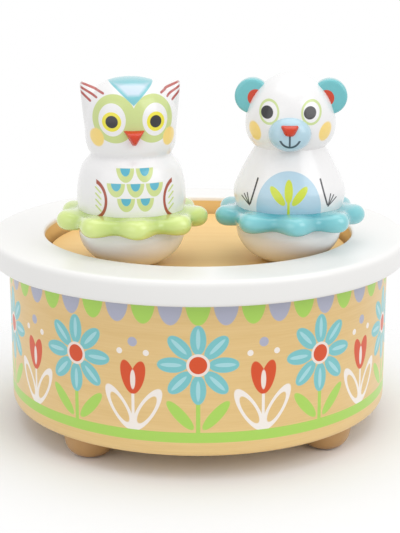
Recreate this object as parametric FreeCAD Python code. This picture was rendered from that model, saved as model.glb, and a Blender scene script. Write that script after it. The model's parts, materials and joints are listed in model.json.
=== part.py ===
import FreeCAD, Part
import math
import os

# A wind-up music box: a turned drum with a rim ring and a stage. Magnets on a carrier under the stage
# drag an owl and a bear round, while a pinned cylinder plays a comb. The drum's axis is Z, the floor is z = 0
# and the figures look along -Y. All sizes are in millimetres, all angles in degrees.

# Drum, ring and stage
DRUM_R = 54.0
DRUM_HEIGHT = 41.9
DRUM_WALL = 8.0
DRUM_EDGE_R = 2.0
REBATE_WALL = 3.6
RING_OVERHANG = 5.0
RING_WIDTH = 15.3
RING_THICKNESS = 6.0
RING_EDGE_R = 1.8
STAGE_DEPTH = 4.8
STAGE_THICKNESS = 3.0
STAGE_GAP = 1.3
FLANGE_WIDTH = 9.0
FLANGE_THICKNESS = 3.2

# Base plate and feet
BASE_THICKNESS = 6.0
KEY_WELL_R = 18.0
FOOT_HEIGHT = 6.5
FOOT_R = 7.2
FOOT_INSET = 1.5
FOOT_FLAT_R = 2.4
FOOT_COUNT = 4
FOOT_TURN = 50.0
PEG_R = 2.0
PEG_LENGTH = 4.5
SCREW_R = 0.9
SCREW_HEAD_R = 1.8
SCREW_LENGTH = 11.0

# Movement
BED_THICKNESS = 2.5
BED_BACK = 22.0
BED_FRONT = 11.0
MOVEMENT_GAP = 9.52
POST_THICKNESS = 1.2
POST_HALF = 2.4
WHEEL_WIDTH = 1.6
ARBOR_R = 2.0
KEY_WIDTH = 22.0
KEY_THICKNESS = 2.4
KEY_WING_R = 3.2
RATCHET_R = 6.0
RATCHET_TEETH = 12
CLICK_LENGTH = 9.0
BARREL_R = 9.6
BARREL_HEIGHT = 12.0
BARREL_WALL = 1.0
CAP_THICKNESS = 1.2
TENON_LENGTH = 4.0
SPRING_TURNS = 6
SPRING_STRIP = 0.3
CROWN_TEETH = 36
CROWN_MODULE = 0.66
CROWN_FACE = 2.0
PINION_TEETH = 12
CYLINDER_R = 6.4
PIN_HEIGHT = 0.5
PIN_R = 0.16
TINE_COUNT = 18
TINE_LENGTH = 10.0
COMB_THICKNESS = 1.0
TRAIN_MODULE = 0.4
TRAIN_GEAR_TEETH = 30
TRAIN_PINION_TEETH = 10
WHEEL_TEETH = 16
WHEEL_MODULE = 0.5
WORM_R = 1.75
FAN_R = 5.0
FAN_HEIGHT = 5.0
SHAFT_R = 1.0

# Magnet carrier
CARRIER_GAP = 1.0
CARRIER_THICKNESS = 3.4
MAGNET_R = 4.0
MAGNET_HEIGHT = 3.0
SPINDLE_R = 3.0
SPINDLE_FLANGE = 4.0

# Figures: how far their axes stand in from the rim, which way they look, and the shared base and float
OWL_INSET = 16.45
BEAR_INSET = 13.91
PAIR_TURN = -82.42
FLOAT_GAP = 1.74
OWL_TURN = 7.3
BEAR_TURN = -4.5
BOWL_R = 14.3
BOWL_HEIGHT = 11.2
BOWL_FOOT_R = 5.0
PAD_HEIGHT = 0.8
DOWEL_R = 2.5
DOWEL_LENGTH = 18.0
FLOAT_R = 20.6
FLOAT_TUBE_R = 2.6
FLOAT_LOBES = 9
FLOAT_LOBE_DEPTH = 2.0
OWL_FLOAT_TURN = 8.0
BEAR_FLOAT_TURN = 2.4
OWL_HEAD_R = 12.2
OWL_HEIGHT = 50.5
BEAR_HEAD_R = 12.1
BEAR_HEIGHT = 51.2
BEAR_EAR_R = 4.7
BEAR_EAR_DEPTH = 5.0

# Play between pieces
RUN = 0.05
CLEAR = 0.3
FIGURE_LIFT = 0.2

# Levels, from the floor up
z_drum = FOOT_HEIGHT
z_base = z_drum + BASE_THICKNESS
z_bed = z_base + BED_THICKNESS
z_drum_top = z_drum + DRUM_HEIGHT
z_ring_top = z_drum_top + RING_THICKNESS
z_stage = z_ring_top - STAGE_DEPTH
z_stage_under = z_stage - STAGE_THICKNESS
z_flange_under = z_stage_under - FLANGE_THICKNESS
z_ratchet = z_bed + CLEAR
z_barrel = z_ratchet + 1.5 + 2 * CLEAR
z_crown_root = z_barrel + 1.4
z_crown_pitch = z_crown_root + 0.9
z_barrel_top = z_barrel + BARREL_HEIGHT
z_cap_top = z_barrel_top + CAP_THICKNESS
z_carrier_top = z_stage_under - 2 * CLEAR
z_carrier = z_carrier_top - CARRIER_THICKNESS

# Radii and places in plan
ring_r = DRUM_R + RING_OVERHANG
ring_bore_r = ring_r - RING_WIDTH
stage_r = ring_bore_r - STAGE_GAP
bore_r = DRUM_R - DRUM_WALL
flange_r = bore_r - FLANGE_WIDTH
carrier_r = flange_r - CARRIER_GAP
rebate_r = DRUM_R - REBATE_WALL
base_r = rebate_r - 0.1
foot_circle_r = DRUM_R - FOOT_INSET - FOOT_R
ledge_r = (bore_r + rebate_r) / 2
crown_r = CROWN_TEETH * CROWN_MODULE / 2
pinion_r = PINION_TEETH * CROWN_MODULE / 2
gear_r = TRAIN_GEAR_TEETH * TRAIN_MODULE / 2
train_pinion_r = TRAIN_PINION_TEETH * TRAIN_MODULE / 2
wheel_r = WHEEL_TEETH * WHEEL_MODULE / 2

# The cylinder lies along +X with its pinion over the crown teeth, and the governor stands at its far end
z_axis = z_crown_pitch + pinion_r
x_pinion = crown_r - CROWN_FACE / 2
x_inner_post = x_pinion + CROWN_FACE + CLEAR
x_cylinder = x_inner_post + POST_THICKNESS + CLEAR
x_end_post = bore_r - MOVEMENT_GAP - POST_THICKNESS
x_wheel = x_end_post - CLEAR - WHEEL_WIDTH
x_outer_post = x_wheel - CLEAR - POST_THICKNESS
x_gear = x_outer_post - CLEAR - WHEEL_WIDTH
cylinder_length = x_gear - CLEAR - x_cylinder
y_governor = -(gear_r + train_pinion_r)
x_worm = x_wheel + WHEEL_WIDTH / 2
y_worm = y_governor - wheel_r - WORM_R
z_fan = z_axis + wheel_r + 2.0
z_bridge = z_fan + FAN_HEIGHT + CLEAR
pin_tip_r = CYLINDER_R + PIN_HEIGHT
y_comb_tip = pin_tip_r + 0.15
y_comb_base = y_comb_tip + TINE_LENGTH
y_comb_end = y_comb_base + 7.0

# The figures stand at their own distance from the axis, turned apart until their floats just clear each other
owl_r = ring_bore_r - OWL_INSET
bear_r = ring_bore_r - BEAR_INSET
apart = 2 * FLOAT_R + FLOAT_GAP
spread = math.acos((owl_r ** 2 + bear_r ** 2 - apart ** 2) / (2 * owl_r * bear_r))
owl_angle = math.radians(PAIR_TURN) - spread / 2
bear_angle = math.radians(PAIR_TURN) + spread / 2
owl_x, owl_y = owl_r * math.cos(owl_angle), owl_r * math.sin(owl_angle)
bear_x, bear_y = bear_r * math.cos(bear_angle), bear_r * math.sin(bear_angle)


def vec(x, y, z):
    return FreeCAD.Vector(x, y, z)


def disc(r, z0, z1, x=0.0, y=0.0):
    return Part.makeCylinder(r, z1 - z0, vec(x, y, z0))


def rod_x(r, x0, x1, y, z):
    return Part.makeCylinder(r, x1 - x0, vec(x0, y, z), vec(1, 0, 0))


def block(x0, x1, y0, y1, z0, z1):
    return Part.makeBox(x1 - x0, y1 - y0, z1 - z0, vec(x0, y0, z0))


def fuse(shapes):
    return shapes[0].multiFuse(shapes[1:]).removeSplitter()


def spun(edges):
    """Turn a closed outline once round Z."""
    face = Part.Face(Part.Wire(edges))
    return Part.makeSolid(face.revolve(vec(0, 0, 0), vec(0, 0, 1), 360))


def turned(points):
    """Turn a straight-sided outline of (radius, height) points round Z."""
    corners = [vec(r, 0, z) for r, z in points]
    return spun(Part.makePolygon(corners + corners[:1]).Edges)


def line(a, b):
    return Part.makeLine(vec(a[0], 0, a[1]), vec(b[0], 0, b[1]))


def arc(a, b, c):
    return Part.Arc(vec(a[0], 0, a[1]), vec(b[0], 0, b[1]), vec(c[0], 0, c[1])).toShape()


def curve(points):
    """A smooth edge through (radius, height) points."""
    spline = Part.BSplineCurve()
    spline.interpolate([vec(r, 0, z) for r, z in points])
    return spline.toShape()


def dome(r, z0, top, fullness=0.55):
    """A quarter oval from the side (r, z0) up to the pole; a higher fullness gives squarer shoulders."""
    bend = Part.BezierCurve()
    shoulder = z0 + (top - z0) * fullness
    bend.setPoles([vec(r, 0, z0), vec(r, 0, shoulder), vec(r * fullness, 0, top), vec(0, 0, top)])
    return bend.toShape()


def cheek(low, high):
    """A bulging edge that leaves one (radius, height) point at a slant and ends upright at the other."""
    bend = Part.BezierCurve()
    lift = high[1] - low[1]
    bend.setPoles([vec(low[0], 0, low[1]), vec(low[0] + lift * 0.3, 0, low[1] + lift * 0.25),
                   vec(high[0], 0, high[1] - lift * 0.45), vec(high[0], 0, high[1])])
    return bend.toShape()


def turn_z(shape, angle, x=0.0, y=0.0):
    shape.rotate(vec(x, y, 0), vec(0, 0, 1), angle)
    return shape


def ring_places(r, count, start):
    """Points spread evenly round a circle."""
    angles = [math.radians(start + 360.0 * k / count) for k in range(count)]
    return [(r * math.cos(a), r * math.sin(a)) for a in angles]


def screw(x, y, z, length, head_r=SCREW_HEAD_R, up=1):
    """A countersunk screw whose head lies flush at height z and whose shank runs up (or down)."""
    head = Part.makeCone(head_r, SCREW_R, head_r - SCREW_R, vec(x, y, z), vec(0, 0, up))
    shank = Part.makeCylinder(SCREW_R, length, vec(x, y, z), vec(0, 0, up))
    slot_z = z if up > 0 else z - 0.4
    slot = block(x - head_r, x + head_r, y - 0.2, y + 0.2, slot_z, slot_z + 0.4)
    return head.fuse(shank).cut(slot), head.fuse(shank)


def save(name, *solids):
    shape = solids[0] if len(solids) == 1 else Part.makeCompound(list(solids))
    shape.exportStep("parts/" + name + ".step")


# Box

base_screw_places = ring_places(ledge_r, FOOT_COUNT, FOOT_TURN + 180.0 / FOOT_COUNT)
base_screws = [screw(x, y, z_drum, SCREW_LENGTH) for x, y in base_screw_places]
foot_places = ring_places(foot_circle_r, FOOT_COUNT, FOOT_TURN)


def drum_shell():
    k = DRUM_EDGE_R * (1 - math.sqrt(0.5))
    low = z_drum
    outline = [
        arc((DRUM_R - DRUM_EDGE_R, low), (DRUM_R - k, low + k), (DRUM_R, low + DRUM_EDGE_R)),
        line((DRUM_R, low + DRUM_EDGE_R), (DRUM_R, z_drum_top)),
    ]
    inside = [(DRUM_R, z_drum_top), (bore_r, z_drum_top), (bore_r, z_stage_under), (flange_r, z_stage_under),
              (flange_r, z_flange_under), (bore_r, z_flange_under), (bore_r, z_base), (rebate_r, z_base),
              (rebate_r, low), (DRUM_R - DRUM_EDGE_R, low)]
    outline += [line(a, b) for a, b in zip(inside, inside[1:])]
    return spun(outline).cut(Part.makeCompound([whole for _, whole in base_screws]))


def rim_ring():
    solid = turned([(ring_bore_r, z_drum_top), (ring_r, z_drum_top), (ring_r, z_ring_top),
                    (ring_bore_r, z_ring_top)])
    flat = [e for e in solid.Edges if e.BoundBox.ZLength < 0.01]
    outer = [e for e in flat if abs(e.BoundBox.XMax - ring_r) < 0.01]
    upper = [e for e in flat if e.BoundBox.ZMin > z_ring_top - 0.01]
    inner = [e for e in upper if abs(e.BoundBox.XMax - ring_bore_r) < 0.01]
    return solid.makeFillet(RING_EDGE_R, outer).makeFillet(RING_EDGE_R * 0.6, inner)


def stage_disc():
    solid = disc(stage_r, z_stage_under, z_stage)
    top = [e for e in solid.Edges if e.BoundBox.ZMin > z_stage - 0.01]
    return solid.makeFillet(0.4, top)


def base_plate(bed_screws):
    pegs = [disc(PEG_R, z_drum, z_drum + PEG_LENGTH, x, y) for x, y in foot_places]
    screws = [whole for _, whole in base_screws + bed_screws]
    well = disc(KEY_WELL_R, z_drum, z_base)
    return disc(base_r, z_drum, z_base).cut(Part.makeCompound([well] + pegs + screws))


def foot(x, y):
    """A turned dome with a small flat to stand on and a peg that is glued into the base plate."""
    flank = arc((FOOT_FLAT_R, 0), (FOOT_R * 0.85, FOOT_HEIGHT * 0.36), (FOOT_R, FOOT_HEIGHT))
    top = [(FOOT_R, FOOT_HEIGHT), (PEG_R, FOOT_HEIGHT), (PEG_R, FOOT_HEIGHT + PEG_LENGTH),
           (0, FOOT_HEIGHT + PEG_LENGTH), (0, 0), (FOOT_FLAT_R, 0)]
    solid = spun([flank] + [line(a, b) for a, b in zip(top, top[1:])])
    solid.translate(vec(x, y, 0))
    return solid


# Gears

def gear(teeth, module, width, backlash, addendum=1.0):
    """A spur gear along Z from the origin, with a tooth centred on +X."""
    r = teeth * module / 2
    r_base = r * math.cos(math.radians(20))
    r_root = r - 1.25 * module
    r_tip = r + addendum * module
    half = (math.pi * module / 2 - backlash) / (2 * r)

    def involute(radius):
        pressure = math.acos(min(1.0, r_base / radius))
        return math.tan(pressure) - pressure

    radii = [r_root] + [max(r_base, r_root) + (r_tip - max(r_base, r_root)) * k / 3 for k in range(4)]
    flank = [(radius, half + involute(r) - involute(max(radius, r_base))) for radius in radii]
    points = []
    for k in range(teeth):
        middle = 2 * math.pi * k / teeth
        sides = [(radius, middle - a) for radius, a in flank]
        sides += [(radius, middle + a) for radius, a in flank[::-1]]
        points += [vec(radius * math.cos(a), radius * math.sin(a), 0) for radius, a in sides]
    return Part.Face(Part.makePolygon(points + points[:1])).extrude(vec(0, 0, width))


def lay_along_x(shape, x, y, z, roll=0.0):
    """Lay a gear made along Z along X, turned about its own axis by roll; its +X tooth then points up."""
    turn_z(shape, roll)
    shape.rotate(vec(0, 0, 0), vec(0, 1, 0), 90)
    shape.rotate(vec(0, 0, 0), vec(1, 0, 0), 180)
    shape.translate(vec(x, y, z))
    return shape


def crown_teeth():
    """Rack-shaped teeth standing on the barrel's flange, with a gap under the pinion at +X."""
    half = (math.pi * CROWN_MODULE / 2 - 0.3) / 2
    slope = math.tan(math.radians(20))
    z_tip = z_crown_pitch + 0.7 * CROWN_MODULE
    root_half = half + slope * (z_crown_pitch - z_crown_root)
    corners = [(root_half, z_crown_root), (half - slope * 0.7 * CROWN_MODULE, z_tip)]
    outline = corners + [(-y, z) for y, z in corners[::-1]]
    points = [vec(crown_r - CROWN_FACE / 2, y, z) for y, z in outline]
    tooth = Part.Face(Part.makePolygon(points + points[:1])).extrude(vec(CROWN_FACE, 0, 0))
    pitch = 360.0 / CROWN_TEETH
    return [turn_z(tooth.copy(), pitch * (k + 0.5)) for k in range(CROWN_TEETH)]


# Movement: fixed pieces

bed_corners = [(-19, -18), (-19, 18), (y_comb_end + 4, y_comb_end - 3), (x_end_post - 6, y_worm - 8)]
bed_screws = [screw(x, y, z_bed, BED_THICKNESS + BASE_THICKNESS - 1, up=-1) for x, y in bed_corners]
comb_screw_places = [(x_cylinder + 3, y_comb_end - 3), (x_cylinder + cylinder_length - 3, y_comb_end - 3)]
z_comb = z_axis - COMB_THICKNESS / 2
z_comb_top = z_comb + COMB_THICKNESS
comb_screws = [screw(x, y, z_comb_top, 6.0, up=-1) for x, y in comb_screw_places]


def post(x, y_low, y_high):
    """An upright plate on the bed that carries the shafts between two places across."""
    return block(x, x + POST_THICKNESS, y_low - POST_HALF, y_high + POST_HALF, z_bed, z_axis + POST_HALF)


def bedplate():
    plate = block(-BED_BACK, x_end_post + POST_HALF, y_worm - BED_FRONT, y_comb_end + 1, z_base, z_bed)
    plate = plate.common(disc(bore_r - 1, z_base, z_bed))
    x_rest = x_cylinder - 0.5
    comb_rest = block(x_rest, x_rest + cylinder_length + 1, y_comb_base, y_comb_end, z_bed, z_comb)
    inner_post = post(x_inner_post, 0, 0)
    outer_post = post(x_outer_post, y_governor, 0)
    end_post = post(x_end_post, y_governor, y_governor)
    step = disc(2.0, z_bed, z_bed + 2.0, x_worm, y_worm)
    holes = [disc(ARBOR_R + 1.2, z_base, z_bed),
             rod_x(SHAFT_R + RUN, x_inner_post, x_outer_post + POST_THICKNESS, 0, z_axis),
             rod_x(SHAFT_R + RUN, x_outer_post, x_end_post + POST_THICKNESS, y_governor, z_axis),
             disc(SHAFT_R * 0.6 + RUN, z_bed + 0.8, z_bed + 2.0, x_worm, y_worm)]
    holes += [whole for _, whole in bed_screws + comb_screws]
    return fuse([plate, comb_rest, inner_post, outer_post, end_post, step]).cut(Part.makeCompound(holes))


def arbor_bush():
    return disc(ARBOR_R + 1.2, z_base, z_bed).cut(disc(ARBOR_R + RUN, z_base, z_bed))


def click():
    """A leaf pawl on the bedplate whose tip waits beside a ratchet tooth."""
    r = RATCHET_R + CLEAR
    foot_pad = disc(1.6, z_bed, z_ratchet + 1.2, r + 0.6, -CLICK_LENGTH)
    leaf = block(r + 0.2, r + 0.9, -CLICK_LENGTH, 0.4, z_ratchet, z_ratchet + 1.2)
    return fuse([foot_pad, leaf])


def tone_comb():
    """One plate of steel, sawn into tines that grow shorter towards the treble end."""
    width = cylinder_length - 0.6
    pitch = width / TINE_COUNT
    x0 = x_cylinder + 0.3
    plate = block(x0, x0 + width, y_comb_tip, y_comb_end, z_comb, z_comb_top)
    cuts = []
    for k in range(1, TINE_COUNT):
        depth = TINE_LENGTH * (1.0 - 0.35 * k / TINE_COUNT)
        x = x0 + k * pitch
        cuts.append(block(x - 0.1, x + 0.1, y_comb_tip, y_comb_tip + depth, z_comb, z_comb_top))
    return plate.cut(Part.makeCompound(cuts + [whole for _, whole in comb_screws]))


def worm_bridge():
    """A post with an arm that holds the top pivot of the worm shaft."""
    y_post = y_worm - FAN_R - 1.0
    post = block(x_worm - 2, x_worm + 2, y_post - 2.5, y_post, z_bed, z_bridge + 1.6)
    arm = block(x_worm - 2, x_worm + 2, y_post, y_worm + 2, z_bridge, z_bridge + 1.6)
    return fuse([post, arm]).cut(disc(SHAFT_R * 0.6 + RUN, z_bridge, z_bridge + 1.6, x_worm, y_worm))


# Movement: moving pieces

z_key = 2.0
z_key_wing = z_key + 2 * KEY_WING_R


def winding_arbor():
    return disc(ARBOR_R, z_key_wing - 1.0, z_barrel_top - CLEAR)


def winding_key():
    """Two round wings on a hub that is pressed on the arbor."""
    reach = KEY_WIDTH / 2 - KEY_WING_R
    half = KEY_THICKNESS / 2
    wings = [Part.makeCylinder(KEY_WING_R, KEY_THICKNESS, vec(x, -half, z_key + KEY_WING_R), vec(0, 1, 0))
             for x in (-reach, reach)]
    web = block(-reach, reach, -half, half, z_key + 1.0, z_key_wing - 1.0)
    hub = disc(ARBOR_R + 1.3, z_key + 0.6, z_base - 2 * CLEAR)
    return fuse(wings + [web, hub]).cut(disc(ARBOR_R, z_key_wing - 1.0, z_base))


def ratchet_wheel():
    """Saw teeth, one for each click of the winding."""
    points = []
    for k in range(RATCHET_TEETH):
        a = 2 * math.pi * k / RATCHET_TEETH
        for radius, angle in ((RATCHET_R - 1.2, a), (RATCHET_R, a + 0.02)):
            points.append(vec(radius * math.cos(angle), radius * math.sin(angle), z_ratchet))
    wheel = Part.Face(Part.makePolygon(points + points[:1])).extrude(vec(0, 0, 1.5))
    return wheel.cut(disc(ARBOR_R, z_ratchet, z_barrel))


def spring_barrel():
    crown_edge = crown_r + CROWN_FACE / 2
    inside_r = BARREL_R - BARREL_WALL
    z_floor = z_barrel + 1.2
    cup = turned([(ARBOR_R + RUN, z_barrel), (crown_edge, z_barrel), (crown_edge, z_crown_root),
                  (BARREL_R, z_crown_root), (BARREL_R, z_barrel_top), (inside_r, z_barrel_top),
                  (inside_r, z_floor), (ARBOR_R + RUN, z_floor)])
    return fuse([cup] + crown_teeth())


def barrel_cap():
    tenon = disc(SPINDLE_R - 1.0, z_cap_top, z_cap_top + TENON_LENGTH)
    return fuse([disc(BARREL_R, z_barrel_top, z_cap_top), tenon])


def mainspring():
    """A flat spiral strip of half circles, from the arbor out to the barrel wall."""
    inner = ARBOR_R + 0.4
    outer = BARREL_R - BARREL_WALL - CLEAR
    grow = (outer - inner - SPRING_STRIP) / (2 * SPRING_TURNS)
    z0 = z_barrel + 1.5

    def spiral(start):
        halves = []
        for k in range(2 * SPRING_TURNS):
            sign = 1 if k % 2 == 0 else -1
            middle = grow * (k % 2)
            r = start + grow * k
            ends = [vec(middle + sign * r, 0, z0), vec(middle, sign * r, z0), vec(middle - sign * r, 0, z0)]
            halves.append(Part.Arc(*ends).toShape())
        return halves

    near, away = spiral(inner), spiral(inner + SPRING_STRIP)
    caps = [Part.makeLine(near[k].Vertexes[k].Point, away[k].Vertexes[k].Point) for k in (0, -1)]
    strip = Part.Face(Part.Wire(near + [caps[1]] + away[::-1] + [caps[0]]))
    return strip.extrude(vec(0, 0, BARREL_HEIGHT - 3.0))


def carrier_spindle():
    flange = disc(SPINDLE_R + SPINDLE_FLANGE, z_carrier - 1.5, z_carrier)
    tenon = disc(SPINDLE_R - 1.0, z_cap_top, z_cap_top + TENON_LENGTH)
    shaft = fuse([disc(SPINDLE_R, z_cap_top, z_carrier), flange])
    return shaft.cut(Part.makeCompound([tenon, carrier_screw_parts[1]]))


carrier_screw_parts = screw(0, 0, z_carrier_top, CARRIER_THICKNESS + 4.0, up=-1)


def magnet_places():
    return [(owl_x, owl_y), (bear_x, bear_y)]


def carrier_magnets():
    return [disc(MAGNET_R, z_carrier_top - MAGNET_HEIGHT, z_carrier_top, x, y) for x, y in magnet_places()]


def magnet_carrier():
    pockets = carrier_magnets() + [carrier_screw_parts[1]]
    return disc(carrier_r, z_carrier, z_carrier_top).cut(Part.makeCompound(pockets))


def music_cylinder():
    """A brass drum with rows of pins; each row is one bar of a made-up tune."""
    drum = rod_x(CYLINDER_R, x_cylinder, x_cylinder + cylinder_length, 0, z_axis)
    bore = rod_x(SHAFT_R, x_cylinder, x_cylinder + cylinder_length, 0, z_axis)
    pitch = (cylinder_length - 0.6) / TINE_COUNT
    pins = []
    for k in range(2 * TINE_COUNT):
        a = 2 * math.pi * (k * 7 % (2 * TINE_COUNT) + 0.5) / (2 * TINE_COUNT)
        x = x_cylinder + 0.3 + pitch * (k % TINE_COUNT + 0.5)
        out = vec(0, math.cos(a), math.sin(a))
        start = vec(x, 0, z_axis) + out * (CYLINDER_R - 0.4)
        pins.append(Part.makeCylinder(PIN_R, PIN_HEIGHT + 0.4, start, out))
    return fuse([drum] + pins).cut(bore)


def cylinder_arbor():
    return rod_x(SHAFT_R, x_pinion - 0.4, x_outer_post + POST_THICKNESS, 0, z_axis)


def crown_pinion():
    teeth = lay_along_x(gear(PINION_TEETH, CROWN_MODULE, CROWN_FACE, 0.25), x_pinion, 0, z_axis, 180)
    return teeth.cut(rod_x(SHAFT_R, x_pinion, x_pinion + CROWN_FACE, 0, z_axis))


def cylinder_gear():
    roll = 90 + 180.0 / TRAIN_GEAR_TEETH
    teeth = lay_along_x(gear(TRAIN_GEAR_TEETH, TRAIN_MODULE, WHEEL_WIDTH, 0.12), x_gear, 0, z_axis, roll)
    return teeth.cut(rod_x(SHAFT_R, x_gear, x_gear + WHEEL_WIDTH, 0, z_axis))


def governor_shaft():
    """The shaft with its pinion cut on it; one tooth sits in the gap that the cylinder gear turns to it."""
    teeth = gear(TRAIN_PINION_TEETH, TRAIN_MODULE, WHEEL_WIDTH, 0.12)
    pinion = lay_along_x(teeth, x_gear, y_governor, z_axis, -90)
    return fuse([pinion, rod_x(SHAFT_R, x_gear, x_end_post + POST_THICKNESS, y_governor, z_axis)])


def worm_wheel():
    wheel = gear(WHEEL_TEETH, WHEEL_MODULE, WHEEL_WIDTH, 0.32, 0.7)
    teeth = lay_along_x(wheel, x_wheel, y_governor, z_axis, 90)
    return teeth.cut(rod_x(SHAFT_R, x_wheel, x_wheel + WHEEL_WIDTH, y_governor, z_axis))


def worm_shaft():
    """A steel pin with one screw thread in mesh with the worm wheel."""
    pitch = math.pi * WHEEL_MODULE
    turns = 4
    root_r = WORM_R - 1.1 * WHEEL_MODULE
    z0 = z_axis - pitch * (turns / 2 - 0.25)
    helix = Part.makeHelix(pitch, pitch * turns, root_r)
    half = pitch * 0.13
    corners = [vec(root_r - 0.2, 0, -half - 0.1), vec(WORM_R + 0.7 * WHEEL_MODULE, 0, -half * 0.5),
               vec(WORM_R + 0.7 * WHEEL_MODULE, 0, half * 0.5), vec(root_r - 0.2, 0, half + 0.1)]
    thread = Part.Wire(helix).makePipeShell([Part.makePolygon(corners + corners[:1])], True, True)
    thread.translate(vec(x_worm, y_worm, z0))
    core = disc(root_r, z_bed + 2.0 + CLEAR, z_bridge - CLEAR, x_worm, y_worm)
    pivots = disc(SHAFT_R * 0.6, z_bed + 1.0, z_bridge + 1.4, x_worm, y_worm)
    solid = fuse([core, pivots]).fuse(thread)
    return solid


def air_brake():
    """Two thin blades on a sleeve; their drag holds the tune's pace."""
    root_r = WORM_R - 1.1 * WHEEL_MODULE
    z_top = z_fan + FAN_HEIGHT - 2 * CLEAR
    sleeve = disc(root_r + 0.6, z_fan, z_top, x_worm, y_worm)
    blades = block(x_worm - FAN_R, x_worm + FAN_R, y_worm - 0.25, y_worm + 0.25, z_fan, z_top)
    return fuse([sleeve, blades]).cut(disc(root_r, z_fan, z_fan + FAN_HEIGHT, x_worm, y_worm))


# Figures, modelled round Z on a stage at z = 0 and looking along -Y

z_float = BOWL_HEIGHT + 0.7 * FLOAT_TUBE_R
z_body = BOWL_HEIGHT + 1.4 * FLOAT_TUBE_R
z_dowel = PAD_HEIGHT + MAGNET_HEIGHT + 0.8


def bowl():
    """The rounded base: a flat foot for the felt pad, a magnet pocket and a hole for the dowel."""
    rise = BOWL_HEIGHT * 0.8
    steps = [(BOWL_R * math.sin(t), rise - rise * 1.04 * math.cos(t)) for t in
             [math.acos(1 / 1.04) + (math.pi / 2 - math.acos(1 / 1.04)) * k / 6 for k in range(7)]]
    steps[0] = (BOWL_FOOT_R, 0)
    top = [steps[-1], (BOWL_R - 0.5, BOWL_HEIGHT), (0, BOWL_HEIGHT), (0, 0), steps[0]]
    solid = spun([curve(steps)] + [line(a, b) for a, b in zip(top, top[1:])])
    pockets = [disc(MAGNET_R, 0, PAD_HEIGHT + MAGNET_HEIGHT), disc(DOWEL_R, z_dowel, BOWL_HEIGHT)]
    return solid.cut(Part.makeCompound(pockets))


def felt_pad():
    return disc(MAGNET_R, 0, PAD_HEIGHT)


def figure_magnet():
    return disc(MAGNET_R, PAD_HEIGHT, PAD_HEIGHT + MAGNET_HEIGHT)


def dowel():
    return disc(DOWEL_R, z_dowel, z_dowel + DOWEL_LENGTH)


def float_ring(turn):
    """A puffy swim ring: a round tube along a scalloped path of tangent arcs, filled by a flat web."""
    step = math.pi / FLOAT_LOBES
    tip = FLOAT_R - FLOAT_TUBE_R
    dip = tip - FLOAT_LOBE_DEPTH
    lobe = tip * math.sin(step) * 0.68
    a = tip - lobe
    cos = math.cos(step)
    hollow = (lobe ** 2 - a ** 2 - dip ** 2 + 2 * a * dip * cos) / (2 * (dip - a * cos - lobe))
    far = dip + hollow

    def polar(radius, angle):
        return vec(radius * math.cos(angle), radius * math.sin(angle), 0)

    def meeting(angle, side):
        out, gap = polar(a, angle), polar(far, angle + side * step)
        return out + (gap - out) * (lobe / (lobe + hollow))

    edges = []
    for k in range(FLOAT_LOBES):
        angle = 2 * step * k
        start, end, after = meeting(angle, -1), meeting(angle, 1), meeting(angle + 2 * step, -1)
        edges.append(Part.Arc(start, polar(tip, angle), end).toShape())
        edges.append(Part.Arc(end, polar(dip, angle + step), after).toShape())
    path = Part.Wire(edges)
    start = edges[0].Vertexes[0].Point
    section = Part.Wire(Part.makeCircle(FLOAT_TUBE_R, start, edges[0].tangentAt(edges[0].FirstParameter)))
    tube = path.makePipeShell([section], True, False)
    web = Part.Face(path).extrude(vec(0, 0, 1.4 * FLOAT_TUBE_R))
    web.translate(vec(0, 0, -0.7 * FLOAT_TUBE_R))
    solid = tube.fuse(web).cut(disc(DOWEL_R, -FLOAT_TUBE_R, FLOAT_TUBE_R))
    turn_z(solid, turn - 90)
    solid.translate(vec(0, 0, z_float))
    return solid


def dowel_hole():
    return disc(DOWEL_R, z_body, z_dowel + DOWEL_LENGTH)


def owl_body():
    """Body and head turned in one piece, with a tuft on each side of the crown."""
    r = OWL_HEAD_R
    top = OWL_HEIGHT
    z_neck = top * 0.6
    rise = z_neck - z_body
    trunk = [(r * 1.17, z_body), (r * 1.2, z_body + rise * 0.23), (r * 1.14, z_body + rise * 0.52),
             (r * 1.01, z_body + rise * 0.79), (r * 0.86, z_neck)]
    wide = (r, top * 0.79)
    solid = spun([curve(trunk), cheek(trunk[-1], wide), dome(*wide, top, 0.66), line((0, top), (0, z_body)),
                  line((0, z_body), trunk[0])])
    for sign in (-1, 1):
        low = vec(sign * r * 0.55, 0, top * 0.83)
        tip = vec(sign * r * 1.0, 0, top * 0.965)
        tuft = Part.makeCone(r * 0.44, 0.6, (tip - low).Length, low, tip - low)
        solid = solid.fuse(tuft)
    return solid.removeSplitter().cut(dowel_hole())


def owl_beak(head):
    """A small three-sided point, let into the face and cut to it."""
    r = OWL_HEAD_R
    out = 2.4
    back = r * 0.2
    z_top = OWL_HEIGHT * 0.748
    nose = vec(0, -r - out, z_top - 1.4)
    grow = (out + back) / out
    spread = [vec(x, -r, z) for x, z in ((-2.4, z_top), (2.4, z_top), (0, z_top - 4.0))]
    left, right, low = [nose + (corner - nose) * grow for corner in spread]
    faces = [(left, right, low), (left, nose, right), (left, low, nose), (right, nose, low)]
    shell = Part.makeShell([Part.Face(Part.makePolygon(list(f) + [f[0]])) for f in faces])
    return Part.makeSolid(shell).cut(head)


def bear_body():
    """A pear-shaped body under an egg-shaped head, with a sharp crease at the neck."""
    r = BEAR_HEAD_R
    z_head = BEAR_HEIGHT * 0.735
    neck = r * 0.775
    z_neck = z_head - r * 0.5
    rise = z_neck - z_body
    trunk = [(r * 1.18, z_body), (r * 1.25, z_body + rise * 0.28), (r * 1.19, z_body + rise * 0.53),
             (r * 1.0, z_body + rise * 0.78), (neck, z_neck)]
    solid = spun([curve(trunk), cheek((neck, z_neck), (r, z_head)), dome(r, z_head, BEAR_HEIGHT),
                  line((0, BEAR_HEIGHT), (0, z_body)), line((0, z_body), trunk[0])])
    return solid.cut(dowel_hole())


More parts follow.
